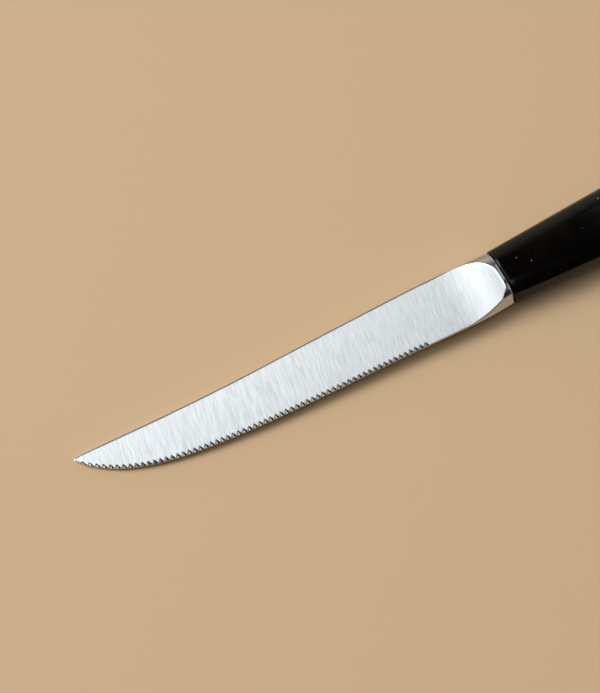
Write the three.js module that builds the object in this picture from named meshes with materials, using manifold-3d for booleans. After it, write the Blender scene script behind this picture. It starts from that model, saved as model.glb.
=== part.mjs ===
// A slim serrated fruit knife: a blade, bolster and tang forged in one piece, a moulded black handle,
// and the cured cement that locks the tang into the handle's socket.
// Millimetres, +Z up. The knife lies on its side as on a table: tip towards -X, butt towards +X and
// spine towards +Y. Shapes are made along the handle's own axis, with the joint of bolster and handle
// at x = 0, and the whole knife is then tipped until the handle's cheek and the tip both rest at z = 0.
import * as THREE from 'three';
import { mergeVertices } from 'three/addons/utils/BufferGeometryUtils.js';
import Module from 'manifold-3d';

// Blade
const bladeLength = 113.6; // tip to the joint with the handle
const heelSpineThickness = 2.0; // at the spine, beside the bolster
const heelEdgeThickness = 0.8; // at the cutting edge, beside the bolster
const tipThickness = 1.5;
const keelAngle = 60; // slope of the edge side, each way from its ridge

// Bolster: a rounded bar that the grinding wheel runs out of in a curve
const bolsterWidth = 14.3; // across the blade at the joint
const bolsterThickness = 8.6;
const bolsterCheek = 1.9; // width of the flat middle of each side at the joint
const collarWidth = 1.1; // full-size bar left between the run-out and the joint
const wheelRadius = 25.8; // of the run-out curve
const barRoundness = 2.15; // 2 gives an ellipse, more gives squarer shoulders

// Serrations, ground from the upper face
const serrationStart = 0.9; // plain edge at the tip
const serrationPitch = 1.41;
const plainHeel = 23.85; // plain edge in front of the joint
const scallopHeight = 1.25; // how far each scallop reaches up the face from the edge
const scallopDepth = 0.36; // how far its floor falls over that height
const scallopPoint = 1.2; // 1 gives pointed scallops, 2 round ones
const cuspBite = 0.03; // how far the points between scallops stand back from the keel

// Tang
const tangLength = 62;
const tangFrontWidth = 7;
const tangBackWidth = 4.6;
const tangThickness = 2.6;
const notchPlaces = [20, 40]; // from the joint to the middle of each pair of notches
const notchLength = 4;
const notchDepth = 0.9;

// Handle
const handleLength = 97;
const handleStep = 0.2; // how far the handle stands proud of the bolster all round
const handleBackWidth = 19.6;
const handleBackCheek = 10; // width of the flat middle of each side at the thickest place
const handleBackKeel = 4; // slope of the edge side there, where the keel has faded
const bellyPlace = 80; // from the joint to the thickest place
const frontRounding = 0.4;
const buttRoundness = 2.4;

// Fits
const seamGap = 0.3; // bolster to handle
const fitGap = 0.3; // round the cement, inside and out
const cementWall = 0.8;
const cementPlug = 2.5; // cement past the end of the tang

// Fineness of the curved surfaces
const bladeSteps = 28;
const runOutSteps = 8;
const barSideSteps = 10;
const scallopSteps = 4;
const handleSteps = 8;
const buttSteps = 7;
const handleSideSteps = 14;

// Blade outline from above: share of the blade's length from the joint, then distance from the axis.
const spineOutline = [
  [0, bolsterWidth / 2], [0.045, 7.35], [0.09, 7.53], [0.18, 7.76], [0.28, 7.71], [0.44, 7.5],
  [0.63, 7.2], [0.79, 7.44], [0.88, 7.78], [0.96, 8.1], [0.985, 8.11], [1, 7.87],
];
const edgeOutline = [
  [0, bolsterWidth / 2], [0.04, 7.46], [0.08, 7.56], [0.155, 7.29], [0.245, 6.87], [0.375, 6.47], [0.505, 6.07],
  [0.632, 5.45], [0.757, 4.13], [0.84, 2.42], [0.9, 0.3], [0.94, -1.88], [0.98, -4.93], [1, -7.4],
];

const wasm = await Module();
wasm.setup();

// A smooth curve through the points of an outline, as a function of the distance from the joint.
function outlineCurve(points) {
  const curve = new THREE.CubicInterpolant(points.map((p) => p[0]), points.map((p) => p[1]), 1);
  return (x) => curve.evaluate(THREE.MathUtils.clamp(-x / bladeLength, 0, 1))[0];
}
const spineAt = outlineCurve(spineOutline);
const edgeDepthAt = outlineCurve(edgeOutline);
const edgeAt = (x) => -edgeDepthAt(x);

// Height of a rounded bar above its middle plane, at a distance to one side of its centre line. Its
// edge side is also cut to a keel.
function barHeight(bar, offset, side) {
  const t = THREE.MathUtils.clamp((offset - bar.cheek) / (bar.halfWidth - bar.cheek), 0, 1);
  const round = bar.halfThickness * (1 - t ** barRoundness) ** (1 / barRoundness);
  return side > 0 ? round : Math.min(round, bar.keelSlope * (bar.halfWidth - offset));
}

// Points down one side of a rounded bar, from a height above the middle plane to as far below it.
function barSide(bar, height, side, steps) {
  const start = Math.asin(Math.min(1, height / bar.halfThickness) ** (barRoundness / 2));
  const points = [];
  for (let i = 0; i <= steps; i++) {
    const angle = THREE.MathUtils.lerp(start, -start, i / steps);
    const round = bar.cheek + (bar.halfWidth - bar.cheek) * Math.cos(angle) ** (2 / barRoundness);
    const up = Math.sign(angle) * bar.halfThickness * Math.abs(Math.sin(angle)) ** (2 / barRoundness);
    const out = side > 0 ? round : Math.min(round, bar.halfWidth - Math.abs(up) / bar.keelSlope);
    points.push([bar.centre + side * out, up]);
  }
  return points;
}

const keelSlope = Math.tan(THREE.MathUtils.degToRad(keelAngle));

// The rounded bar that the blade and bolster are forged from, at one place along it.
function forgedBar(x) {
  const halfWidth = (spineAt(x) - edgeAt(x)) / 2;
  return {
    centre: (spineAt(x) + edgeAt(x)) / 2,
    halfWidth,
    halfThickness: bolsterThickness / 2,
    cheek: Math.min(bolsterCheek, halfWidth) / 2,
    keelSlope,
  };
}

// Each blade face is one flat plane through the heel's spine, the heel's edge and the tip, which then
// sweeps up in the curve of the grinding wheel to the collar.
const heelPlace = -plainHeel;
const widthTaper = (heelSpineThickness - heelEdgeThickness) / 2 / (spineAt(heelPlace) - edgeAt(heelPlace));
const tipRise = widthTaper * (spineAt(heelPlace) - spineAt(-bladeLength));
const lengthTaper = ((heelSpineThickness - tipThickness) / 2 - tipRise) / (bladeLength - plainHeel);
function flatFace(x, y) {
  const heelHeight = heelSpineThickness / 2 - widthTaper * (spineAt(heelPlace) - y);
  return heelHeight + lengthTaper * (x - heelPlace);
}
const runOutRise = bolsterThickness / 2 - flatFace(-collarWidth, 0);
const runOutLength = Math.sqrt(2 * wheelRadius * runOutRise - runOutRise ** 2);
const runOutStart = -collarWidth - runOutLength;
function groundFace(x, y) {
  const along = Math.min(Math.max(x - runOutStart, 0), wheelRadius);
  return flatFace(x, y) + wheelRadius - Math.sqrt(wheelRadius ** 2 - along ** 2);
}

// Where the ground face meets the rounded bar on one side.
function groundRim(x, side) {
  const bar = forgedBar(x);
  let inner = bar.cheek;
  let outer = bar.halfWidth;
  if (groundFace(x, bar.centre + side * inner) >= bar.halfThickness) return bar.halfThickness;
  for (let i = 0; i < 40; i++) {
    const middle = (inner + outer) / 2;
    if (barHeight(bar, middle, side) > groundFace(x, bar.centre + side * middle)) inner = middle;
    else outer = middle;
  }
  return barHeight(bar, inner, side);
}

// One closed section of the forging, clockwise seen from the butt: spine side down, edge side up.
function forgedRing(x) {
  const bar = forgedBar(x);
  const spineSide = barSide(bar, groundRim(x, 1), 1, barSideSteps);
  const edgeSide = barSide(bar, groundRim(x, -1), -1, barSideSteps).reverse();
  return [...spineSide, ...edgeSide].map(([y, z]) => new THREE.Vector3(x, y, z));
}

// A closed skin over a row of closed sections, all with the same number of points.
function loft(rings) {
  const count = rings[0].length;
  const index = [];
  for (let i = 0; i + 1 < rings.length; i++) {
    for (let j = 0; j < count; j++) {
      const a = i * count + j;
      const b = i * count + (j + 1) % count;
      index.push(a, a + count, b + count, a, b + count, b);
    }
  }
  const last = (rings.length - 1) * count;
  for (let j = 1; j + 1 < count; j++) {
    index.push(0, j, j + 1, last, last + j + 1, last + j);
  }
  const geometry = new THREE.BufferGeometry().setFromPoints(rings.flat());
  geometry.setIndex(index);
  return geometry;
}

// A straight bar with flat sides, which may taper across its width.
function taperedBar(front, back, frontWidth, backWidth, thickness) {
  const section = (x, width) => [[1, 1], [1, -1], [-1, -1], [-1, 1]].map(
    ([side, up]) => new THREE.Vector3(x, side * width / 2, up * thickness / 2));
  return loft([section(front, frontWidth), section(back, backWidth)]);
}

function block(length, width, thickness, x, y) {
  return new THREE.BoxGeometry(length, width, thickness).translate(x, y, 0);
}

function toSolid(geometry) {
  const bare = new THREE.BufferGeometry();
  bare.setAttribute('position', geometry.getAttribute('position'));
  bare.setIndex(geometry.getIndex());
  const merged = mergeVertices(bare);
  return new wasm.Manifold(new wasm.Mesh({
    numProp: 3,
    vertProperties: new Float32Array(merged.getAttribute('position').array),
    triVerts: new Uint32Array(merged.getIndex().array),
  }));
}

function toGeometry(solid) {
  const mesh = solid.getMesh();
  const geometry = new THREE.BufferGeometry();
  geometry.setAttribute('position', new THREE.BufferAttribute(new Float32Array(mesh.vertProperties), 3));
  geometry.setIndex(new THREE.BufferAttribute(new Uint32Array(mesh.triVerts), 1));
  geometry.computeVertexNormals();
  return geometry;
}

// The forging before it is serrated, its stations closer together towards the tip and the collar.
function forgedBlank() {
  const stations = [];
  for (let i = 0; i < bladeSteps; i++) {
    stations.push(THREE.MathUtils.lerp(-bladeLength, runOutStart, (i / bladeSteps) ** 1.5));
  }
  for (let i = 0; i <= runOutSteps; i++) {
    stations.push(runOutStart + runOutLength * Math.sin((i / runOutSteps) * Math.PI / 2));
  }
  stations.push(0);
  return loft(stations.map(forgedRing));
}

// The grinding that leaves the serrations: one long comb of pointed scallops along the edge. Their
// floors fall from the upper face to the keel.
function serrationComb() {
  const reach = 1.5; // how far the comb extends outside the edge
  const spare = 0.06; // how far it stands above the blade
  const fall = scallopDepth / scallopHeight;
  const count = Math.floor((bladeLength - plainHeel - serrationStart) / serrationPitch);
  const rings = [];
  for (let i = 0; i <= count * scallopSteps; i++) {
    const x = -bladeLength + serrationStart + i * serrationPitch / scallopSteps;
    const across = 2 * (i % scallopSteps) / scallopSteps - 1;
    const share = 1 - Math.abs(across) ** scallopPoint;
    const half = flatFace(x, edgeAt(x));
    const high = THREE.MathUtils.lerp(half / keelSlope + cuspBite, scallopHeight, share);
    const corner = (inset, z) => new THREE.Vector3(x, edgeAt(x) + inset, z);
    rings.push([
      corner(-reach, half + spare), corner(high + spare / fall, half + spare),
      corner(-reach, half - fall * (high + reach)),
    ]);
  }
  return loft(rings);
}

const tangWidthAt = (x) => THREE.MathUtils.lerp(tangFrontWidth, tangBackWidth, x / tangLength);

function bladeSolid() {
  const root = -collarWidth; // the tang is rooted inside the bolster
  let solid = toSolid(forgedBlank()).subtract(toSolid(serrationComb()));
  solid = solid.add(toSolid(taperedBar(root, tangLength, tangWidthAt(root), tangBackWidth, tangThickness)));
  for (const place of notchPlaces) {
    for (const side of [1, -1]) {
      const notch = block(notchLength, 2 * notchDepth, 2 * tangThickness, place, side * tangWidthAt(place) / 2);
      solid = solid.subtract(toSolid(notch));
    }
  }
  return solid;
}

// Cement and socket both follow the tang, each with its clearance.
const socketFront = seamGap;
const cementEnd = tangLength + fitGap + cementPlug;
const tangRoom = (grow, front, back) => taperedBar(
  front, back, tangWidthAt(front) + 2 * grow, tangWidthAt(back) + 2 * grow, tangThickness + 2 * grow);

function cementSolid() {
  const outside = toSolid(tangRoom(fitGap + cementWall, socketFront, cementEnd));
  const inside = toSolid(tangRoom(fitGap, 0, tangLength + fitGap));
  let solid = outside.subtract(inside);
  for (const place of notchPlaces) {
    for (const side of [1, -1]) {
      const notchFloor = tangWidthAt(place) / 2 - notchDepth;
      const inner = notchFloor + fitGap;
      const outer = tangWidthAt(place) / 2 + fitGap + cementWall / 2;
      const height = tangThickness + 2 * fitGap + cementWall;
      const key = block(notchLength - 2 * fitGap, outer - inner, height, place, side * (inner + outer) / 2);
      solid = solid.add(toSolid(key));
    }
  }
  return solid;
}

// The handle's cheeks taper in line with the underside of the tip, so that the knife lies flat on one
// cheek and just touches with the tip.
const handleFrontThickness = bolsterThickness + 2 * handleStep;
const restSlope = (handleFrontThickness - tipThickness) / 2 / (bladeLength + seamGap);

function handleBar(x) {
  const ahead = Math.min(x / bellyPlace, 1);
  const domed = Math.max((x - bellyPlace) / (handleLength - bellyPlace), 0);
  const dome = (1 - domed ** buttRoundness) ** (1 / buttRoundness);
  const swell = Math.sin(ahead * Math.PI / 2);
  const width = THREE.MathUtils.lerp(bolsterWidth + 2 * handleStep, handleBackWidth, swell);
  const cheek = THREE.MathUtils.lerp(bolsterCheek, handleBackCheek, ahead);
  return {
    centre: 0,
    halfWidth: dome * width / 2,
    halfThickness: dome * (handleFrontThickness / 2 + restSlope * (x - seamGap)),
    cheek: dome * cheek / 2,
    keelSlope: THREE.MathUtils.lerp(keelSlope, handleBackKeel, ahead),
  };
}

function handleRing(x, inset) {
  const bar = handleBar(x);
  bar.halfWidth -= inset;
  bar.halfThickness -= inset;
  bar.cheek = Math.max(bar.cheek - inset, inset);
  const right = barSide(bar, bar.halfThickness, 1, handleSideSteps);
  const left = barSide(bar, bar.halfThickness, -1, handleSideSteps).reverse();
  return [...right, ...left].map(([y, z]) => new THREE.Vector3(x, y, z));
}

function handleSolid() {
  const rings = [handleRing(seamGap, frontRounding)];
  const shoulder = seamGap + frontRounding;
  for (let i = 0; i <= handleSteps; i++) {
    rings.push(handleRing(THREE.MathUtils.lerp(shoulder, bellyPlace, i / handleSteps), 0));
  }
  for (let i = 1; i <= buttSteps; i++) {
    const turn = Math.sin(0.96 * (i / buttSteps) * Math.PI / 2);
    rings.push(handleRing(THREE.MathUtils.lerp(bellyPlace, handleLength, turn), 0));
  }
  const socket = tangRoom(2 * fitGap + cementWall, seamGap - 1, cementEnd + fitGap);
  return toSolid(loft(rings)).subtract(toSolid(socket));
}

function piece(name, solid, look) {
  const mesh = new THREE.Mesh(toGeometry(solid), new THREE.MeshStandardMaterial(look));
  mesh.name = name;
  return mesh;
}

const knife = new THREE.Group();
knife.add(
  piece('blade', bladeSolid(), { color: 0xd3d9dd, roughness: 0.32, metalness: 1 }),
  piece('tang_cement', cementSolid(), { color: 0xb9ae94, roughness: 0.8, metalness: 0 }),
  piece('handle', handleSolid(), { color: 0x0a0a0b, roughness: 0.16, metalness: 0 }),
);
knife.rotation.y = -Math.atan(restSlope);

// Set down on z = 0, with the middle of its footprint at the origin.
const part = new THREE.Group();
part.add(knife);
part.updateMatrixWorld(true);
const reachBox = new THREE.Box3().setFromObject(part, true);
const middle = reachBox.getCenter(new THREE.Vector3());
knife.position.set(-middle.x, -middle.y, -reachBox.min.z);

export default part;
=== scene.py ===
from math import asin, atan, atan2, cos, pi, radians, sin, sqrt, tan

import bmesh
import bpy
from mathutils import Matrix, Vector


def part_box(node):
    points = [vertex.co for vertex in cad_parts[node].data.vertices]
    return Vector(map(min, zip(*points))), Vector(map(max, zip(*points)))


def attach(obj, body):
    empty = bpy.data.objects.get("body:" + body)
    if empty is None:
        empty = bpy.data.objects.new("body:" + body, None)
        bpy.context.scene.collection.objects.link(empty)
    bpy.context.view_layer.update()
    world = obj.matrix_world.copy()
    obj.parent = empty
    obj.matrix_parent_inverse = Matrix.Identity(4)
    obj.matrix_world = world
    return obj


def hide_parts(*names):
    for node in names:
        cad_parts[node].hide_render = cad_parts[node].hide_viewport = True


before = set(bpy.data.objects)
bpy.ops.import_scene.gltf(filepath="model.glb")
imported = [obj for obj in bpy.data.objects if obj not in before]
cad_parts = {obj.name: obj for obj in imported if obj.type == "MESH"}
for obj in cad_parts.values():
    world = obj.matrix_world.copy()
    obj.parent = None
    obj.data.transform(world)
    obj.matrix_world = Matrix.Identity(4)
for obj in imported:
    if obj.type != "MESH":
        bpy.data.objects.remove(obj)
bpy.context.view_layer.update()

print("frame loaded:", sorted(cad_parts))

quarterTurn = [i * pi / 16 for i in range(9)]  # even steps through a right angle, for rounded ends


def mix(a, b, share):
    return a + (b - a) * share


def ease(low, high, x):
    t = min(max((x - low) / (high - low), 0), 1)
    return t * t * (3 - 2 * t)


# A smooth line through an outline's points, as a function of x.
def outlineCurve(points, length):
    def slope(i):
        a = points[max(i - 1, 0)]
        b = points[min(i + 1, len(points) - 1)]
        return (b[1] - a[1]) / (b[0] - a[0])

    def at(x):
        share = min(max(-x / length, 0), 1)
        i = next(k for k in range(len(points) - 1) if share <= points[k + 1][0])
        span = points[i + 1][0] - points[i][0]
        t = (share - points[i][0]) / span
        return ((1 + 2 * t) * (1 - t) ** 2 * points[i][1] + t * (1 - t) ** 2 * span * slope(i)
                + t * t * (3 - 2 * t) * points[i + 1][1] - t * t * (1 - t) * span * slope(i + 1))
    return at


# First ring of a skin: a circle whose corners are then set on a section.
def startRing(bm, places):
    ring = bmesh.ops.create_circle(bm, segments=len(places), radius=1)["verts"]
    ring.sort(key=lambda v: atan2(v.co.y, v.co.x))
    for vert, place in zip(ring, places):
        vert.co = place
    return ring


# Extrudes the open ring and sets the new one on the next section. finishes holds a material per column.
def pullRing(bm, ring, places, finishes):
    edges = [bm.edges.get((ring[i - 1], ring[i])) for i in range(len(ring))]
    made = bmesh.ops.extrude_edge_only(bm, edges=edges)["geom"]
    fresh = {v for v in made if isinstance(v, bmesh.types.BMVert)}
    pulled = []
    for vert, place in zip(ring, places):
        twin = next(e.other_vert(vert) for e in vert.link_edges if e.other_vert(vert) in fresh)
        twin.co = place
        pulled.append(twin)
    for i in range(len(ring)):
        bm.edges.get((pulled[i - 1], pulled[i])).link_faces[0].material_index = finishes[i - 1]
    return pulled


def closeRing(bm, ring):
    for face in bmesh.ops.contextual_create(bm, geom=ring)["faces"]:
        face.material_index = 0


# Lays a flat map on the mesh, U along the knife and V round it, sets it on the table and links it.
def finishPiece(bm, name, materials, sharp):
    bmesh.ops.remove_doubles(bm, verts=bm.verts, dist=1e-5)
    bmesh.ops.recalc_face_normals(bm, faces=bm.faces)
    grainMap = bm.loops.layers.uv.new("grain")
    for face in bm.faces:
        face.smooth = True
        upright = abs(face.normal.z) < 0.5
        for loop in face.loops:
            place = loop.vert.co
            loop[grainMap].uv = (place.x / 100, (place.z if upright else place.y) / 100)
    for edge in bm.edges:
        if len(edge.link_faces) == 2:
            twoFinishes = edge.link_faces[0].material_index != edge.link_faces[1].material_index
            edge.smooth = not (twoFinishes or edge.seam) and edge.calc_face_angle() <= sharp
            edge.seam = False
    bmesh.ops.transform(bm, matrix=onTable, verts=bm.verts)
    mesh = bpy.data.meshes.new(name)
    bm.to_mesh(mesh)
    bm.free()
    for material in materials:
        mesh.materials.append(material)
    piece = bpy.data.objects.new(name, mesh)
    bpy.context.scene.collection.objects.link(piece)
    return piece


# Shader nodes
def fillSockets(tree, made, values):
    for socket, value in values.items():
        if isinstance(value, bpy.types.NodeSocket):
            tree.links.new(value, made.inputs[socket])
        else:
            made.inputs[socket].default_value = value


def node(tree, kind, values=None, **settings):
    made = tree.nodes.new("ShaderNode" + kind)
    for name, value in settings.items():
        setattr(made, name, value)
    fillSockets(tree, made, values or {})
    return made


def maths(tree, operation, a, b):
    return node(tree, "Math", {0: a, 1: b}, operation=operation).outputs[0]


def times(tree, a, b):
    return maths(tree, "MULTIPLY", a, b)


def plus(tree, a, b):
    return maths(tree, "ADD", a, b)


def spread(tree, value, low, high, toLow=0.0, toHigh=1.0):
    values = {0: value, 1: low, 2: high, 3: toLow, 4: toHigh}
    return node(tree, "MapRange", values, interpolation_type="SMOOTHSTEP").outputs[0]


def colourMix(tree, share, a, b):
    return node(tree, "Mix", {0: share, 6: a, 7: b}, data_type="RGBA").outputs[2]


def newGroup(name, inputs, outputs):
    tree = bpy.data.node_groups.new(name, "ShaderNodeTree")
    for title, kind, value in inputs:
        socket = tree.interface.new_socket(title, in_out="INPUT", socket_type="NodeSocket" + kind)
        if value is not None:
            socket.default_value = value
    for title in outputs:
        tree.interface.new_socket(title, in_out="OUTPUT", socket_type="NodeSocketFloat")
    entry = tree.nodes.new("NodeGroupInput")
    leave = tree.nodes.new("NodeGroupOutput")
    return tree, entry.outputs, leave.inputs


def useGroup(tree, group, values):
    made = tree.nodes.new("ShaderNodeGroup")
    made.node_tree = group
    fillSockets(tree, made, values)
    return made.outputs


# Lines left by an abrasive belt: fine ones and a few broad ones, in a direction turned from Y.
def grainGroup():
    tree, given, result = newGroup("beltGrain", [
        ("Vector", "Vector", None), ("Turn", "Float", 0.0), ("Lines", "Float", 3000.0),
        ("Stretch", "Float", 40.0)], ["Fine", "Broad"])
    coarser = (0.23, 0.45, 0.45)  # rates of the broad lines, as shares of the fine ones
    turned = node(tree, "VectorRotate", {"Vector": given["Vector"], "Angle": given["Turn"]},
                  rotation_type="Z_AXIS").outputs[0]
    along = maths(tree, "DIVIDE", given["Lines"], given["Stretch"])
    rates = node(tree, "CombineXYZ", {0: given["Lines"], 1: along, 2: along}).outputs[0]
    fineSpot = node(tree, "VectorMath", {0: turned, 1: rates}, operation="MULTIPLY").outputs[0]
    fine = node(tree, "TexNoise", {"Vector": fineSpot, "Scale": 1.0, "Detail": 3.0, "Roughness": 0.65})
    broadSpot = node(tree, "VectorMath", {0: fineSpot, 1: coarser}, operation="MULTIPLY").outputs[0]
    broad = node(tree, "TexNoise", {"Vector": broadSpot, "Scale": 1.0, "Detail": 2.0, "Roughness": 0.5})
    tree.links.new(fine.outputs["Fac"], result["Fine"])
    tree.links.new(broad.outputs["Fac"], result["Broad"])
    return tree


# Cloudy marks left by handling.
def smudgeGroup():
    tree, given, result = newGroup("handlingSmudge", [
        ("Vector", "Vector", None), ("Size", "Float", 0.01), ("Amount", "Float", 0.5)], ["Smudge"])
    rate = maths(tree, "DIVIDE", 1.0, given["Size"])
    cloud = node(tree, "TexNoise", {"Vector": given["Vector"], "Scale": rate, "Detail": 4.0,
                                    "Roughness": 0.6, "Distortion": 0.6}).outputs["Fac"]
    shaped = spread(tree, cloud, 0.42, 0.72)
    tree.links.new(times(tree, shaped, given["Amount"]), result["Smudge"])
    return tree


# Specks of dust: some of the cells hold one, of varying size.
def dustGroup():
    tree, given, result = newGroup("dustSpecks", [
        ("Vector", "Vector", None), ("Spacing", "Float", 0.004), ("Size", "Float", 0.05),
        ("Share", "Float", 0.3)], ["Dust"])
    rate = maths(tree, "DIVIDE", 1.0, given["Spacing"])
    cells = node(tree, "TexVoronoi", {"Vector": given["Vector"], "Scale": rate, "Randomness": 1.0})
    chance = node(tree, "SeparateColor", {0: cells.outputs["Color"]}).outputs
    held = maths(tree, "LESS_THAN", chance[0], given["Share"])
    radius = times(tree, given["Size"], plus(tree, chance[1], 0.35))
    inside = maths(tree, "LESS_THAN", cells.outputs["Distance"], radius)
    tree.links.new(times(tree, held, inside), result["Dust"])
    return tree


beltGrain = grainGroup()
handlingSmudge = smudgeGroup()
dustSpecks = dustGroup()


def newMaterial(name):
    material = bpy.data.materials.new(name)
    material.use_nodes = True
    tree = material.node_tree
    shader = tree.nodes["Principled BSDF"]
    spot = node(tree, "TexCoord").outputs["Object"]
    return material, tree, shader, spot


# bump is the strength and the depth in metres of what height draws.
def setFinish(tree, shader, tone, rough, height, bump):
    strength, depth = bump
    relief = node(tree, "Bump", {"Strength": strength, "Distance": depth, "Height": height})
    tree.links.new(tone, shader.inputs["Base Color"])
    tree.links.new(rough, shader.inputs["Roughness"])
    tree.links.new(relief.outputs[0], shader.inputs["Normal"])


# One steel for the whole forging. The ground attribute says where the belt left its lines; the rest
# is polished.
def forgedSteel():
    look = {
        "dark": (0.62, 0.672, 0.712, 1),
        "light": (0.80, 0.86, 0.905, 1),
        "polished": (0.55, 0.575, 0.62, 1),
        "dull": (0.44, 0.46, 0.50, 1),
        "turn": radians(9.5),
        "lines": 4000.0,  # to the metre
        "stretch": 18.0,  # length of a line in its own widths
        "streak": (0.32, 0.68),  # narrower gives more contrast
        "rough": 0.45,
        "roughSpread": 0.04,
        "polishedRough": 0.11,
        "anisotropy": 0.85,
        "scoop": (-0.006, 0.003),  # the run-out, along the knife in metres
        "scoopFade": 0.6,  # how far the lines fade there
        "scoopTone": 0.6,  # what they fade to, between dark and light
        "scoopGloss": 0.09,
        "bump": (0.5, 0.00002),
    }
    material, tree, shader, spot = newMaterial("forgedSteel")
    ground = node(tree, "Attribute", attribute_name="ground").outputs["Fac"]
    grain = useGroup(tree, beltGrain, {"Vector": spot, "Turn": look["turn"], "Lines": look["lines"],
                                       "Stretch": look["stretch"]})
    hair = useGroup(tree, beltGrain, {"Vector": spot, "Turn": look["turn"] + 0.03, "Lines": 8000.0,
                                      "Stretch": 50.0})
    polish = useGroup(tree, beltGrain, {"Vector": spot, "Turn": radians(84), "Lines": 5000.0,
                                        "Stretch": 30.0})
    smudge = useGroup(tree, handlingSmudge, {"Vector": spot, "Size": 0.02, "Amount": 1.0})["Smudge"]
    lines = plus(tree, times(tree, grain["Fine"], 0.95), times(tree, grain["Broad"], 0.05))
    along = node(tree, "SeparateXYZ", {0: spot}).outputs[0]
    scoop = spread(tree, along, *look["scoop"])
    fade = maths(tree, "SUBTRACT", 1.0, times(tree, scoop, look["scoopFade"]))
    streak = maths(tree, "SUBTRACT", spread(tree, lines, *look["streak"]), look["scoopTone"])
    streak = plus(tree, look["scoopTone"], times(tree, streak, fade))
    brushedTone = colourMix(tree, streak, look["dark"], look["light"])
    brushedTone = colourMix(tree, times(tree, smudge, 0.1), brushedTone, look["dark"])
    polishedTone = colourMix(tree, times(tree, smudge, 0.4), look["polished"], look["dull"])
    brushedRough = times(tree, maths(tree, "SUBTRACT", 0.5, streak), look["roughSpread"])
    brushedRough = plus(tree, look["rough"], brushedRough)
    brushedRough = maths(tree, "SUBTRACT", brushedRough, times(tree, scoop, look["scoopGloss"]))
    polishedRough = plus(tree, look["polishedRough"], times(tree, smudge, 0.05))
    polishedRough = plus(tree, polishedRough, times(tree, polish["Fine"], 0.05))
    rough = node(tree, "Mix", {0: ground, 2: polishedRough, 3: brushedRough}).outputs[0]
    height = plus(tree, times(tree, hair["Fine"], 0.5), grain["Fine"])
    height = times(tree, times(tree, height, fade), ground)
    tangent = node(tree, "Tangent", direction_type="UV_MAP", uv_map="grain")
    shader.inputs["Metallic"].default_value = 1.0
    shader.inputs["Anisotropic"].default_value = look["anisotropy"]
    tree.links.new(tangent.outputs[0], shader.inputs["Tangent"])
    setFinish(tree, shader, colourMix(tree, ground, polishedTone, brushedTone), rough, height, look["bump"])
    return material


def groundSteel():
    look = {
        "tone": (0.78, 0.79, 0.80, 1),
        "dull": (0.55, 0.56, 0.57, 1),
        "rough": 0.12,
        "bump": (0.1, 0.00002),
    }
    material, tree, shader, spot = newMaterial("groundTeeth")
    grain = useGroup(tree, beltGrain, {"Vector": spot, "Turn": 0.0, "Lines": 9000.0, "Stretch": 8.0})
    tone = colourMix(tree, spread(tree, grain["Fine"], 0.35, 0.65), look["dull"], look["tone"])
    rough = plus(tree, look["rough"], times(tree, grain["Broad"], 0.1))
    shader.inputs["Metallic"].default_value = 1.0
    setFinish(tree, shader, tone, rough, grain["Fine"], look["bump"])
    return material


def glossBlack():
    look = {
        "deep": (0.0006, 0.0005, 0.0004, 1),
        "worn": (0.0016, 0.0014, 0.0012, 1),
        "dust": (0.12, 0.11, 0.10, 1),
        "rough": 0.13,
        "bump": (0.06, 0.00003),
    }
    material, tree, shader, spot = newMaterial("glossBlackMoulding")
    smudge = useGroup(tree, handlingSmudge, {"Vector": spot, "Size": 0.012, "Amount": 1.0})["Smudge"]
    grain = useGroup(tree, beltGrain, {"Vector": spot, "Turn": radians(80), "Lines": 2500.0,
                                       "Stretch": 50.0})
    dust = useGroup(tree, dustSpecks, {"Vector": spot, "Spacing": 0.003, "Size": 0.055,
                                       "Share": 0.9})["Dust"]
    scratch = spread(tree, grain["Fine"], 0.6, 0.75)
    tone = colourMix(tree, smudge, look["deep"], look["worn"])
    tone = colourMix(tree, dust, tone, look["dust"])
    rough = plus(tree, look["rough"], times(tree, smudge, 0.07))
    rough = plus(tree, rough, times(tree, dust, 0.5))
    rough = plus(tree, rough, times(tree, scratch, 0.06))
    height = maths(tree, "SUBTRACT", dust, times(tree, scratch, 0.2))
    shader.inputs["IOR"].default_value = 1.33
    setFinish(tree, shader, tone, rough, height, look["bump"])
    return material


def curedCement():
    look = {
        "dark": (0.55, 0.50, 0.41, 1),
        "light": (0.74, 0.70, 0.60, 1),
        "bump": (0.4, 0.0002),
    }
    material, tree, shader, spot = newMaterial("curedCement")
    cloud = node(tree, "TexNoise", {"Vector": spot, "Scale": 900.0, "Detail": 5.0}).outputs["Fac"]
    tone = colourMix(tree, cloud, look["dark"], look["light"])
    rough = spread(tree, cloud, 0.2, 0.8, 0.75, 0.95)
    setFinish(tree, shader, tone, rough, cloud, look["bump"])
    return material


steelFinish = forgedSteel()
toothFinish = groundSteel()
handleFinish = glossBlack()
cementFinish = curedCement()
print("materials made")

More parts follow.
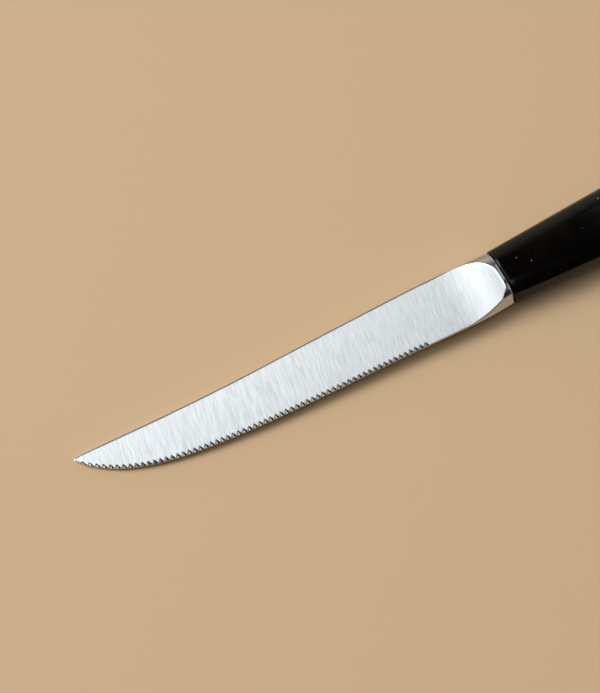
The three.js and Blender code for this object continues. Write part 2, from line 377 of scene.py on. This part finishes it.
# Blade, bolster and tang. The knife is shaped in millimetres along its own axis, with the joint of
# bolster and handle at x = 0, the tip towards -X and the spine towards +Y.
bladeSizes = {
    "length": 113.6,
    "spine": [(0, 7.15), (0.045, 7.35), (0.09, 7.53), (0.18, 7.76), (0.28, 7.71), (0.44, 7.5),
              (0.63, 7.2), (0.79, 7.44), (0.88, 7.78), (0.96, 8.1), (0.985, 8.11), (1, 7.87)],
    "edge": [(0, 7.15), (0.04, 7.46), (0.08, 7.56), (0.155, 7.29), (0.245, 6.87), (0.375, 6.47),
             (0.505, 6.07), (0.632, 5.45), (0.757, 4.13), (0.84, 2.42), (0.9, 0.3), (0.94, -1.88),
             (0.98, -4.93), (1, -7.4)],
    "heelSpine": 2.0,  # thickness at the spine beside the bolster
    "heelEdge": 0.8,
    "tip": 1.5,
    "keelAngle": radians(60),  # slope of the edge side, each way from its ridge
    "keelSoftness": 0.05,  # rounding of that ridge
    "noseLength": 0.45,
    "bolsterThickness": 8.6,
    "bolsterCheek": 1.9,  # width of the flat middle of each side at the joint
    "collar": 1.1,  # full bar left between the run-out and the joint
    "wheel": 25.8,  # radius of the run-out
    "roundness": 2.15,  # 2 gives an ellipse, more gives squarer shoulders
    "rimSoftness": 0.24,  # rounding of the rim of the run-out
    "rimRows": (-3.4, -0.9),  # where the rows lie closest, round the end of that rim
    "edgeRounding": 0.09,  # rounding of the plain heel
    "spineBevel": (0.3, 0.1),  # width and drop of the polished-off corner of the spine
    "backRounding": (0.8, 0.16),  # length and drop of the eased edge at the joint
    "grindFade": 0.08,  # height over which the belt's lines end at the rim
    "toothStart": 0.9,
    "toothPitch": 1.41,
    "plainHeel": 23.85,
    "toothHeight": 1.25,
    "toothDepth": 0.36,  # fall of a tooth's floor over its height
    "toothPoint": 1.2,  # 1 gives pointed teeth, 2 round ones
    "toothHollow": 0.7,  # below 1 the floor falls steeply at first
    "cuspBite": 0.03,  # how far the points between teeth stand back
    "toothSteps": 8,
    "faceColumns": 22,
    "upperColumns": 7,
    "lowerColumns": 4,
}
tangSizes = {
    "length": 62.0,
    "frontWidth": 7.0,
    "backWidth": 4.6,
    "thickness": 2.6,
    "notches": (20.0, 40.0),
    "notchLength": 4.0,
    "notchDepth": 0.9,
}
jointSizes = {
    "step": 0.2,  # the handle stands proud of the bolster
    "fit": 0.3,  # the CAD model's seam, which the handle's taper starts from
    "seam": 0.14,  # open line between bolster and handle
}

# Place on the table, applied to each finished mesh
frontThickness = bladeSizes["bolsterThickness"] + 2 * jointSizes["step"]
restSlope = (frontThickness - bladeSizes["tip"]) / 2 / (bladeSizes["length"] + jointSizes["fit"])
tilt = atan(restSlope)
tipReach = bladeSizes["length"] * cos(tilt) + bladeSizes["tip"] / 2 * sin(tilt)
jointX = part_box("blade")[0].x + 0.001 * tipReach
jointZ = 0.001 * (frontThickness / 2 * cos(tilt) - jointSizes["fit"] * sin(tilt))
onTable = (Matrix.Translation((jointX, 0, jointZ)) @ Matrix.Rotation(-tilt, 4, "Y")
           @ Matrix.Scale(0.001, 4))

spineAt = outlineCurve(bladeSizes["spine"], bladeSizes["length"])
edgeDepthAt = outlineCurve(bladeSizes["edge"], bladeSizes["length"])
heel = -bladeSizes["plainHeel"]
tipPlace = -bladeSizes["length"]
toothFront = tipPlace + bladeSizes["toothStart"]
toothCount = int((heel - toothFront) / bladeSizes["toothPitch"])
widthTaper = (bladeSizes["heelSpine"] - bladeSizes["heelEdge"]) / 2 / (spineAt(heel) + edgeDepthAt(heel))
tipRise = widthTaper * (spineAt(heel) - spineAt(tipPlace))
lengthTaper = ((bladeSizes["heelSpine"] - bladeSizes["tip"]) / 2 - tipRise) / (heel - tipPlace)


def flatFace(x, y):
    return bladeSizes["heelSpine"] / 2 - widthTaper * (spineAt(heel) - y) + lengthTaper * (x - heel)


runOutRise = bladeSizes["bolsterThickness"] / 2 - flatFace(-bladeSizes["collar"], 0)
runOutLength = sqrt(2 * bladeSizes["wheel"] * runOutRise - runOutRise ** 2)
runOutStart = -bladeSizes["collar"] - runOutLength


def groundFace(x, y):
    along = min(max(x - runOutStart, 0), bladeSizes["wheel"])
    return flatFace(x, y) + bladeSizes["wheel"] - sqrt(bladeSizes["wheel"] ** 2 - along ** 2)


# The bar at x: centre line, half sizes, half the flat middle, and the keel along its edge side.
def forgedBar(x):
    half = (spineAt(x) + edgeDepthAt(x)) / 2
    nose = min((x - tipPlace) / bladeSizes["noseLength"], 1)
    half *= sqrt(max(1 - (1 - nose) ** 2, 0.02))
    return {"centre": (spineAt(x) - edgeDepthAt(x)) / 2, "halfWidth": half,
            "halfThickness": bladeSizes["bolsterThickness"] / 2, "roundness": bladeSizes["roundness"],
            "cheek": min(bladeSizes["bolsterCheek"], half) / 2,
            "keel": tan(bladeSizes["keelAngle"]), "keelSoftness": bladeSizes["keelSoftness"]}


# Height of the bar's skin at a distance from its centre line. side is 1 at the spine, -1 at the edge.
def barHeight(bar, offset, side):
    t = min(max((offset - bar["cheek"]) / (bar["halfWidth"] - bar["cheek"]), 0), 1)
    height = bar["halfThickness"] * (1 - t ** bar["roundness"]) ** (1 / bar["roundness"])
    if side > 0:
        return height
    inset = max(bar["halfWidth"] - offset, 0) + bar["keelSoftness"]
    return min(height, bar["keel"] * sqrt(inset ** 2 - bar["keelSoftness"] ** 2))


# The other way round: how far in from the widest line the skin is at a height.
def roundInset(bar, up):
    share = max(1 - (up / bar["halfThickness"]) ** bar["roundness"], 0) ** (1 / bar["roundness"])
    return (bar["halfWidth"] - bar["cheek"]) * (1 - share)


def keelInset(bar, up):
    return sqrt((up / bar["keel"]) ** 2 + bar["keelSoftness"] ** 2) - bar["keelSoftness"]


def skinInset(bar, up, side):
    inset = roundInset(bar, abs(up))
    return inset if side > 0 else max(inset, keelInset(bar, abs(up)))


# Height of the line where the keel's flat meets the round of the bar.
def keelTop(bar):
    low, high = 0.02 * bar["halfThickness"], bar["halfThickness"]
    for step in range(30):
        middle = (low + high) / 2
        if keelInset(bar, middle) > roundInset(bar, middle):
            low = middle
        else:
            high = middle
    return low


# Heights of a side's columns, from a rim down to the widest line, with one column on the keel's top.
def columnHeights(bar, rim, side, upper, lower):
    turn = bar["roundness"] / 2
    top = keelTop(bar)
    close = 0.995 if side < 0 else 0.8  # a rim below the keel's top keeps the line just under it
    line = min(top, rim * mix(0.8, close, ease(0.7 * top, top, rim)))
    first = asin(min(rim / bar["halfThickness"], 1) ** turn)
    last = asin((line / bar["halfThickness"]) ** turn)
    heights = [bar["halfThickness"] * sin(mix(first, last, (i / upper) ** 1.4)) ** (1 / turn)
               for i in range(upper)]
    return heights + [line * (1 - i / lower) for i in range(lower + 1)]


# Height where the ground face cuts a side of the bar.
def rimHeight(x, bar, side):
    inner, outer = bar["cheek"], bar["halfWidth"]
    if groundFace(x, bar["centre"] + side * inner) >= barHeight(bar, inner, side):
        return barHeight(bar, inner, side)
    for step in range(40):
        middle = (inner + outer) / 2
        if barHeight(bar, middle, side) > groundFace(x, bar["centre"] + side * middle):
            inner = middle
        else:
            outer = middle
    return barHeight(bar, inner, side)


# A tooth's groove at x, as (distance in, height) pairs from the face to the keel's ridge, or None.
def toothWall(x, bar):
    place = (x - toothFront) / bladeSizes["toothPitch"]
    if place < -1e-6 or place > toothCount + 1e-6:
        return None
    across = 2 * (place - int(place + 1e-6)) - 1
    share = max(1 - abs(across) ** bladeSizes["toothPoint"], 0)
    top = flatFace(x, bar["centre"] - bar["halfWidth"])
    shallow = keelInset(bar, top) + bladeSizes["cuspBite"]
    deep = min(bladeSizes["toothHeight"], 0.8 * bar["halfWidth"])
    if deep < shallow:  # no room at the very nose
        return None
    high = mix(shallow, deep, share)
    fall = min(bladeSizes["toothDepth"] / bladeSizes["toothHeight"], (top - 0.02) / high)
    low = (top - fall * high) / (bar["keel"] - fall)
    lowUp = bar["keel"] * low
    upper, lower = bladeSizes["upperColumns"], bladeSizes["lowerColumns"]
    hollow = bladeSizes["toothHollow"]
    wall = [(mix(high, low, i / upper), mix(top, lowUp, (i / upper) ** hollow)) for i in range(upper)]
    below = [lowUp * (1 - i / lower) for i in range(lower + 1)]
    return wall + [(keelInset(bar, up), up) for up in below]


def toothAt(x):
    return toothWall(x, forgedBar(x))


# Rounds the rim between a face and a side: the first pair of the side becomes a short curve.
def roundedRim(wall, rounding):
    corner = Vector(wall[0])
    step = Vector(wall[1]) - corner
    face = corner + Vector((rounding, 0))
    drop = corner + step * min(rounding / max(step.length, 1e-6), 0.8)
    curve = [face * (1 - t) ** 2 + corner * 2 * t * (1 - t) + drop * t * t for t in (0, 0.3, 0.6, 1)]
    return [tuple(pair) for pair in curve] + wall[1:]


def bevelledRim(wall, width, drop):
    inset, up = wall[0]
    bevel = [(width, 0), (width * 0.93, drop * 0.05), (width * 0.07, drop * 0.9), (0, drop * 1.2)]
    return [(inset + away, up - down) for away, down in bevel] + wall[1:]


# Upper and lower half of a side, each from its rim to the widest line.
def sideWalls(x, bar, side):
    rim = rimHeight(x, bar, side)
    heights = columnHeights(bar, rim, side, bladeSizes["upperColumns"], bladeSizes["lowerColumns"])
    crisp = [(skinInset(bar, up, side), up) for up in heights]
    plain = roundedRim(crisp, min(bladeSizes["edgeRounding"], bar["halfWidth"] * 0.15))
    if side > 0:  # the bevel along the spine dies out in the run-out
        share = 1 - ease(runOutStart - 2, runOutStart + 6, x)
        width, drop = [size * min(1, bar["halfWidth"]) for size in bladeSizes["spineBevel"]]
        bevelled = bevelledRim(crisp, width, drop)
        plain = [(mix(a, c, share), mix(b, d, share)) for (a, b), (c, d) in zip(plain, bevelled)]
    tooth = toothWall(x, bar) if side < 0 else None
    upper = roundedRim(tooth, 0.01) if tooth else plain
    return upper, plain


def skinHeight(bar, y):
    return barHeight(bar, abs(y - bar["centre"]), 1 if y > bar["centre"] else -1)


# Where the skin is rounded over the run-out's rim, it drops a little below both surfaces.
def rimDrop(x, y, bar):
    soft = bladeSizes["rimSoftness"] * ease(runOutStart, runOutStart + 7, x) + 1e-6
    gap = abs(groundFace(x, y) - skinHeight(bar, y))
    return soft * max(1 - gap / soft, 0) ** 2 / 4


# One closed section, from the spine's upper rim over the face to the edge, and back underneath.
# The second list says how far each of its corners lies on the ground face, from 0 to 1.
def bladeSection(x):
    bar = forgedBar(x)
    edge = Vector((x, bar["centre"] - bar["halfWidth"]))
    spine = Vector((x, bar["centre"] + bar["halfWidth"]))
    count = bladeSizes["faceColumns"]

    def fromEdge(inset):
        return edge + Vector((0, inset))

    def fromSpine(inset):
        return spine - Vector((0, inset))

    def faceRun(up, edgeInset, spineInset):
        first = fromSpine(spineInset)
        last = fromEdge(edgeInset)
        run = []
        marks = []
        for i in range(count):
            spot = first.lerp(last, (1 - cos(pi * (i + 1) / (count + 1))) / 2)
            ground = groundFace(spot.x, spot.y)
            skin = skinHeight(bar, spot.y)
            run.append(Vector((spot.x, spot.y, up * (min(ground, skin) - rimDrop(spot.x, spot.y, bar)))))
            marks.append(min(max((skin - ground) / bladeSizes["grindFade"], 0), 1))
        return run, marks

    def wallRun(wall, place, up):
        run = []
        for inset, height in wall:
            spot = place(inset)
            run.append(Vector((spot.x, spot.y, up * (height - rimDrop(x, spot.y, bar)))))
        return run

    # A side is polished but for its two rims, which share the finish of the face beside them.
    def sideMarks(run, first, last):
        return [0.7 * first] + [0] * (len(run) - 2) + [0.7 * last]

    edgeUpper, edgeLower = sideWalls(x, bar, -1)
    spineUpper, spineLower = sideWalls(x, bar, 1)
    over, overMarks = faceRun(1, edgeUpper[0][0], spineUpper[0][0])
    under, underMarks = faceRun(-1, edgeLower[0][0], spineLower[0][0])
    edgeRun = wallRun(edgeUpper, fromEdge, 1) + wallRun(edgeLower[:-1], fromEdge, -1)[::-1]
    spineRun = wallRun(spineUpper, fromSpine, 1) + wallRun(spineLower[:-1], fromSpine, -1)[::-1]
    edgeMarks = sideMarks(edgeRun, overMarks[-1], underMarks[-1])
    spineMarks = sideMarks(spineRun, underMarks[0], overMarks[0])
    return (over + edgeRun + under[::-1] + spineRun[::-1],
            overMarks + edgeMarks + underMarks[::-1] + spineMarks)


# Places along the blade: close together through the teeth, the run-out's rim and the nose.
def bladePlaces():
    pitch, steps = bladeSizes["toothPitch"], bladeSizes["toothSteps"]
    last = toothFront + toothCount * pitch
    rimStart, rimEnd = bladeSizes["rimRows"]
    closest = 0.008
    places = [tipPlace + bladeSizes["noseLength"] * (1 - cos(turn)) for turn in quarterTurn]
    places += [toothFront + i * pitch / steps for i in range(toothCount * steps + 1)]
    places += [last + 0.02]
    places += [mix(last, runOutStart, i / 12) for i in range(1, 12)]
    places += [mix(runOutStart, rimStart, i / 24) for i in range(24)]
    places += [mix(rimStart, rimEnd, i / 28) for i in range(28)]
    places += [mix(rimEnd, -bladeSizes["backRounding"][0], i / 4) for i in range(5)]
    places.sort()
    return [x for i, x in enumerate(places) if i == 0 or x - places[i - 1] > closest]


def shrunk(section, amount, x):
    middle = sum(section, Vector()) / len(section)
    moved = []
    for place in section:
        away = place - middle
        away.x = 0
        moved.append(Vector((x, place.y, place.z)) - away.normalized() * amount)
    return moved


# A section pressed on to a rectangle.
def boxed(section, x, width, thickness):
    moved = []
    for place in section:
        size = max(abs(place.y) / (width / 2), abs(place.z) / (thickness / 2))
        moved.append(Vector((x, place.y / size, place.z / size)))
    return moved


def tangWidth(x):
    return mix(tangSizes["frontWidth"], tangSizes["backWidth"], x / tangSizes["length"])


# Places and widths along the tang, with a step in and out at each pair of notches.
def tangSteps():
    steps = [(0, tangWidth(0))]
    for notch in tangSizes["notches"]:
        front = notch - tangSizes["notchLength"] / 2
        back = notch + tangSizes["notchLength"] / 2
        floor = tangWidth(notch) - 2 * tangSizes["notchDepth"]
        steps += [(front, tangWidth(front)), (front, floor), (back, floor), (back, tangWidth(back))]
    return steps + [(tangSizes["length"], tangWidth(tangSizes["length"]))]


def makeBlade():
    bm = bmesh.new()
    markLayer = bm.verts.layers.float.new("ground")
    places = bladePlaces()
    sections = [bladeSection(x) for x in places]
    last = sections[-1][0]
    groove = bladeSizes["faceColumns"]  # the edge side's columns follow the face's
    side = 3 + bladeSizes["upperColumns"]  # of them, those above the keel's flat
    across = 2 * (side + bladeSizes["lowerColumns"])
    crisp = (groove + side, groove + across - side)  # the lines where the keel's flats end
    steel = [0] * len(last)
    toothed = list(steel)
    for i in range(groove, groove + side):
        toothed[i] = 1

    def setMarks(ring, marks):
        for vert, mark in zip(ring, marks):
            vert[markLayer] = mark

    ring = startRing(bm, sections[0][0])
    setMarks(ring, sections[0][1])
    closeRing(bm, ring)
    for i in range(1, len(places)):
        inTeeth = toothAt(places[i]) and toothAt(places[i - 1])
        pulled = pullRing(bm, ring, sections[i][0], toothed if inTeeth else steel)
        for k in crisp:
            bm.edges.get((ring[k], pulled[k])).seam = True
        setMarks(pulled, sections[i][1])
        ring = pulled
    along, drop = bladeSizes["backRounding"]
    for turn in quarterTurn[1:]:  # eased back edge of the collar
        ring = pullRing(bm, ring, shrunk(last, drop * (1 - cos(turn)), -along * (1 - sin(turn))), steel)
        setMarks(ring, steel)
    for x, width in tangSteps():
        ring = pullRing(bm, ring, boxed(last, x, width, tangSizes["thickness"]), steel)
        setMarks(ring, steel)
    closeRing(bm, ring)
    return finishPiece(bm, "bladeForging", [steelFinish, toothFinish], radians(30))


blade = makeBlade()
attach(blade, "root")
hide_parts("blade")
print("blade made:", len(blade.data.polygons), "faces")

# Handle
handleSizes = {
    "length": 97.0,
    "backWidth": 19.6,
    "backCheek": 10.0,
    "belly": 80.0,  # from the joint to the thickest place
    "frontRounding": 0.4,
    "backKeel": 4.0,  # slope of the edge side at the belly, where the keel has faded
    "keelSoftness": 0.25,
    "buttRoundness": 2.4,
    "insideWidth": 0.02,  # how far it stays inside the CAD handle
    "insideHeight": 0.012,
    "socketGrow": 1.4,
    "socketEnd": 65.1,
    "upperColumns": 18,
    "lowerColumns": 10,
    "bodyRows": 48,
    "domeRows": 30,
    "domeShare": 0.958,  # of a quarter turn, before the butt is closed
}


def handleBar(x):
    ahead = min(max(x, 0) / handleSizes["belly"], 1)
    domed = max((x - handleSizes["belly"]) / (handleSizes["length"] - handleSizes["belly"]), 0)
    dome = max(1 - domed ** handleSizes["buttRoundness"], 0) ** (1 / handleSizes["buttRoundness"])
    frontWidth = 2 * bladeSizes["spine"][0][1] + 2 * jointSizes["step"]
    width = mix(frontWidth, handleSizes["backWidth"], sin(ahead * pi / 2)) - handleSizes["insideWidth"]
    cheek = mix(bladeSizes["bolsterCheek"], handleSizes["backCheek"], ahead)
    height = frontThickness / 2 - handleSizes["insideHeight"] + restSlope * (x - jointSizes["fit"])
    return {"halfWidth": dome * width / 2, "cheek": dome * cheek / 2, "roundness": bladeSizes["roundness"],
            "halfThickness": dome * height,
            "keel": mix(tan(bladeSizes["keelAngle"]), handleSizes["backKeel"], ahead),
            "keelSoftness": handleSizes["keelSoftness"]}


def handleSection(x, inset=0.0):
    bar = handleBar(x)
    bar["halfWidth"] -= inset
    bar["halfThickness"] -= inset
    bar["cheek"] = max(bar["cheek"] - inset, 0.1)
    heights = columnHeights(bar, bar["halfThickness"], -1, handleSizes["upperColumns"],
                            handleSizes["lowerColumns"])
    sides = []
    for side in (1, -1):
        corner = [(side * (bar["halfWidth"] - skinInset(bar, up, side)), up) for up in heights]
        sides.append(corner + [(y, -up) for y, up in corner[-2::-1]])
    return [Vector((x, y, up)) for y, up in sides[0] + sides[1][::-1]]


def socketSection(section, x):
    grow = 2 * handleSizes["socketGrow"]
    return boxed(section, x, tangWidth(x) + grow, tangSizes["thickness"] + grow)


def makeHandle():
    bm = bmesh.new()
    front = jointSizes["seam"]
    rounding = handleSizes["frontRounding"]
    shoulder = front + rounding
    belly, rows, domeRows = handleSizes["belly"], handleSizes["bodyRows"], handleSizes["domeRows"]
    mouth = handleSection(shoulder, rounding)
    black = [0] * len(mouth)
    ring = startRing(bm, socketSection(mouth, handleSizes["socketEnd"]))
    closeRing(bm, ring)
    ring = pullRing(bm, ring, socketSection(mouth, front), black)
    for turn in quarterTurn:  # rounded front edge
        section = handleSection(front + rounding * (1 - cos(turn)), rounding * (1 - sin(turn)))
        ring = pullRing(bm, ring, section, black)
    for i in range(1, rows + 1):
        ring = pullRing(bm, ring, handleSection(mix(shoulder, belly, i / rows)), black)
    for i in range(1, domeRows + 1):
        share = sin(handleSizes["domeShare"] * i / domeRows * pi / 2)
        ring = pullRing(bm, ring, handleSection(mix(belly, handleSizes["length"], share)), black)
    closeRing(bm, ring)
    return finishPiece(bm, "handleMoulding", [handleFinish], radians(35))


handle = makeHandle()
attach(handle, "root")
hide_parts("handle")
print("handle made:", len(handle.data.polygons), "faces")

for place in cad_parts["tang_cement"].material_slots:
    place.material = cementFinish
print("cement finished")

# Floor, light and camera
stageLook = {
    "floor": (0.53, 0.383, 0.236, 1),
    "floorSize": 6.0,
    "lampTone": (1.0, 0.99, 0.975),
    "panelTone": (1.0, 0.96, 0.9),
    "darkRoom": (0.028, 0.021, 0.014, 1),
    "paleRoom": (0.62, 0.56, 0.50, 1),
    "camera": (-0.07207, -0.04692, 0.24248),
    "azimuth": radians(-27.28),
    "elevation": radians(75.635),
    "focal": 1000.0,  # in pixels
    "frameHeight": 693,  # in pixels
    "sensor": 36.0,
}


def makeFloor():
    bm = bmesh.new()
    bmesh.ops.create_grid(bm, x_segments=1, y_segments=1, size=stageLook["floorSize"] / 2)
    mesh = bpy.data.meshes.new("floor")
    bm.to_mesh(mesh)
    bm.free()
    floor = bpy.data.objects.new("floor", mesh)
    bpy.context.scene.collection.objects.link(floor)
    material = bpy.data.materials.new("paleFloor")
    material.use_nodes = True
    shader = material.node_tree.nodes["Principled BSDF"]
    shader.inputs["Base Color"].default_value = stageLook["floor"]
    shader.inputs["Roughness"].default_value = 0.9
    shader.inputs["Specular IOR Level"].default_value = 0.2
    mesh.materials.append(material)


# A soft box over the table: place and the point it faces, in metres, size and power.
def makeLamp(name, place, facing, size, power, tone="lampTone"):
    lamp = bpy.data.lights.new(name, "AREA")
    lamp.shape = "RECTANGLE"
    lamp.size, lamp.size_y = size
    lamp.energy = power
    lamp.color = stageLook[tone]
    holder = bpy.data.objects.new(name, lamp)
    holder.location = place
    away = Vector(place) - Vector(facing)
    holder.rotation_euler = away.to_track_quat("Z", "Y").to_euler()
    bpy.context.scene.collection.objects.link(holder)


# A dark room, pale low down behind the knife, to its right and near the viewer's right.
def makeWorld():
    world = bpy.data.worlds.new("studio")
    bpy.context.scene.world = world
    world.use_nodes = True
    tree = world.node_tree
    back = tree.nodes["Background"]
    way = node(tree, "SeparateXYZ", {0: node(tree, "TexCoord").outputs["Generated"]}).outputs
    behind = times(tree, spread(tree, way[1], 0.2, 0.9), spread(tree, way[2], 0.4, 0.95, 1.0, 0.0))
    beside = times(tree, spread(tree, way[0], 0.35, 0.8), spread(tree, way[2], 0.5, 0.85, 1.0, 0.0))
    nearSide = times(tree, spread(tree, way[0], 0.4, 0.65), spread(tree, way[1], -0.6, -0.3, 1.0, 0.0))
    nearSide = times(tree, nearSide, spread(tree, way[2], 0.35, 0.55, 1.0, 0.0))
    glow = maths(tree, "MAXIMUM", behind, times(tree, beside, 0.45))
    glow = maths(tree, "MAXIMUM", glow, times(tree, nearSide, 0.6))
    tone = colourMix(tree, glow, stageLook["darkRoom"], stageLook["paleRoom"])
    tree.links.new(tone, back.inputs["Color"])
    back.inputs["Strength"].default_value = 1.0


def makeCamera():
    lens = bpy.data.cameras.new("photoCamera")
    lens.sensor_width = stageLook["sensor"]
    lens.lens = stageLook["focal"] * stageLook["sensor"] / stageLook["frameHeight"]
    lens.clip_start = 0.01
    camera = bpy.data.objects.new("photoCamera", lens)
    a, e = stageLook["azimuth"], stageLook["elevation"]
    back = Vector((sin(a) * cos(e), -cos(a) * cos(e), sin(e)))
    right = Vector((cos(a), sin(a), 0))
    up = back.cross(right)
    turn = Matrix((right, up, back)).transposed()
    camera.matrix_world = Matrix.Translation(stageLook["camera"]) @ turn.to_4x4()
    bpy.context.scene.collection.objects.link(camera)
    bpy.context.scene.camera = camera


makeFloor()
makeLamp("windowKey", (-0.315, 0.16, 0.8), (-0.315, 0.16, 0), (0.69, 0.48), 2.0)  # shines in the blade
makeLamp("windowNear", (-0.025, -0.22, 0.8), (-0.025, -0.22, 0), (0.19, 0.16), 0.15)
makeLamp("windowFill", (-2.3, 2.3, 3.0), (0, 0, 0), (2.0, 2.0), 205.0)  # lights the floor
makeLamp("sidePanel", (0.8, -0.08, 0.62), (0, 0, 0), (0.85, 0.45), 0.15, "panelTone")
makeLamp("toothPanel", (0.58, -0.36, 0.8), (0, 0, 0), (0.45, 0.4), 0.22, "panelTone")
makeLamp("tipCard", (0.005, -0.055, 0.3), (0.005, -0.055, 0), (0.09, 0.05), 0.02)
makeLamp("collarCard", (0.168, 0.11, 0.3), (0.168, 0.11, 0), (0.06, 0.16), 0.03)
makeWorld()
makeCamera()
bpy.context.scene.view_settings.view_transform = "Standard"
print("stage set")
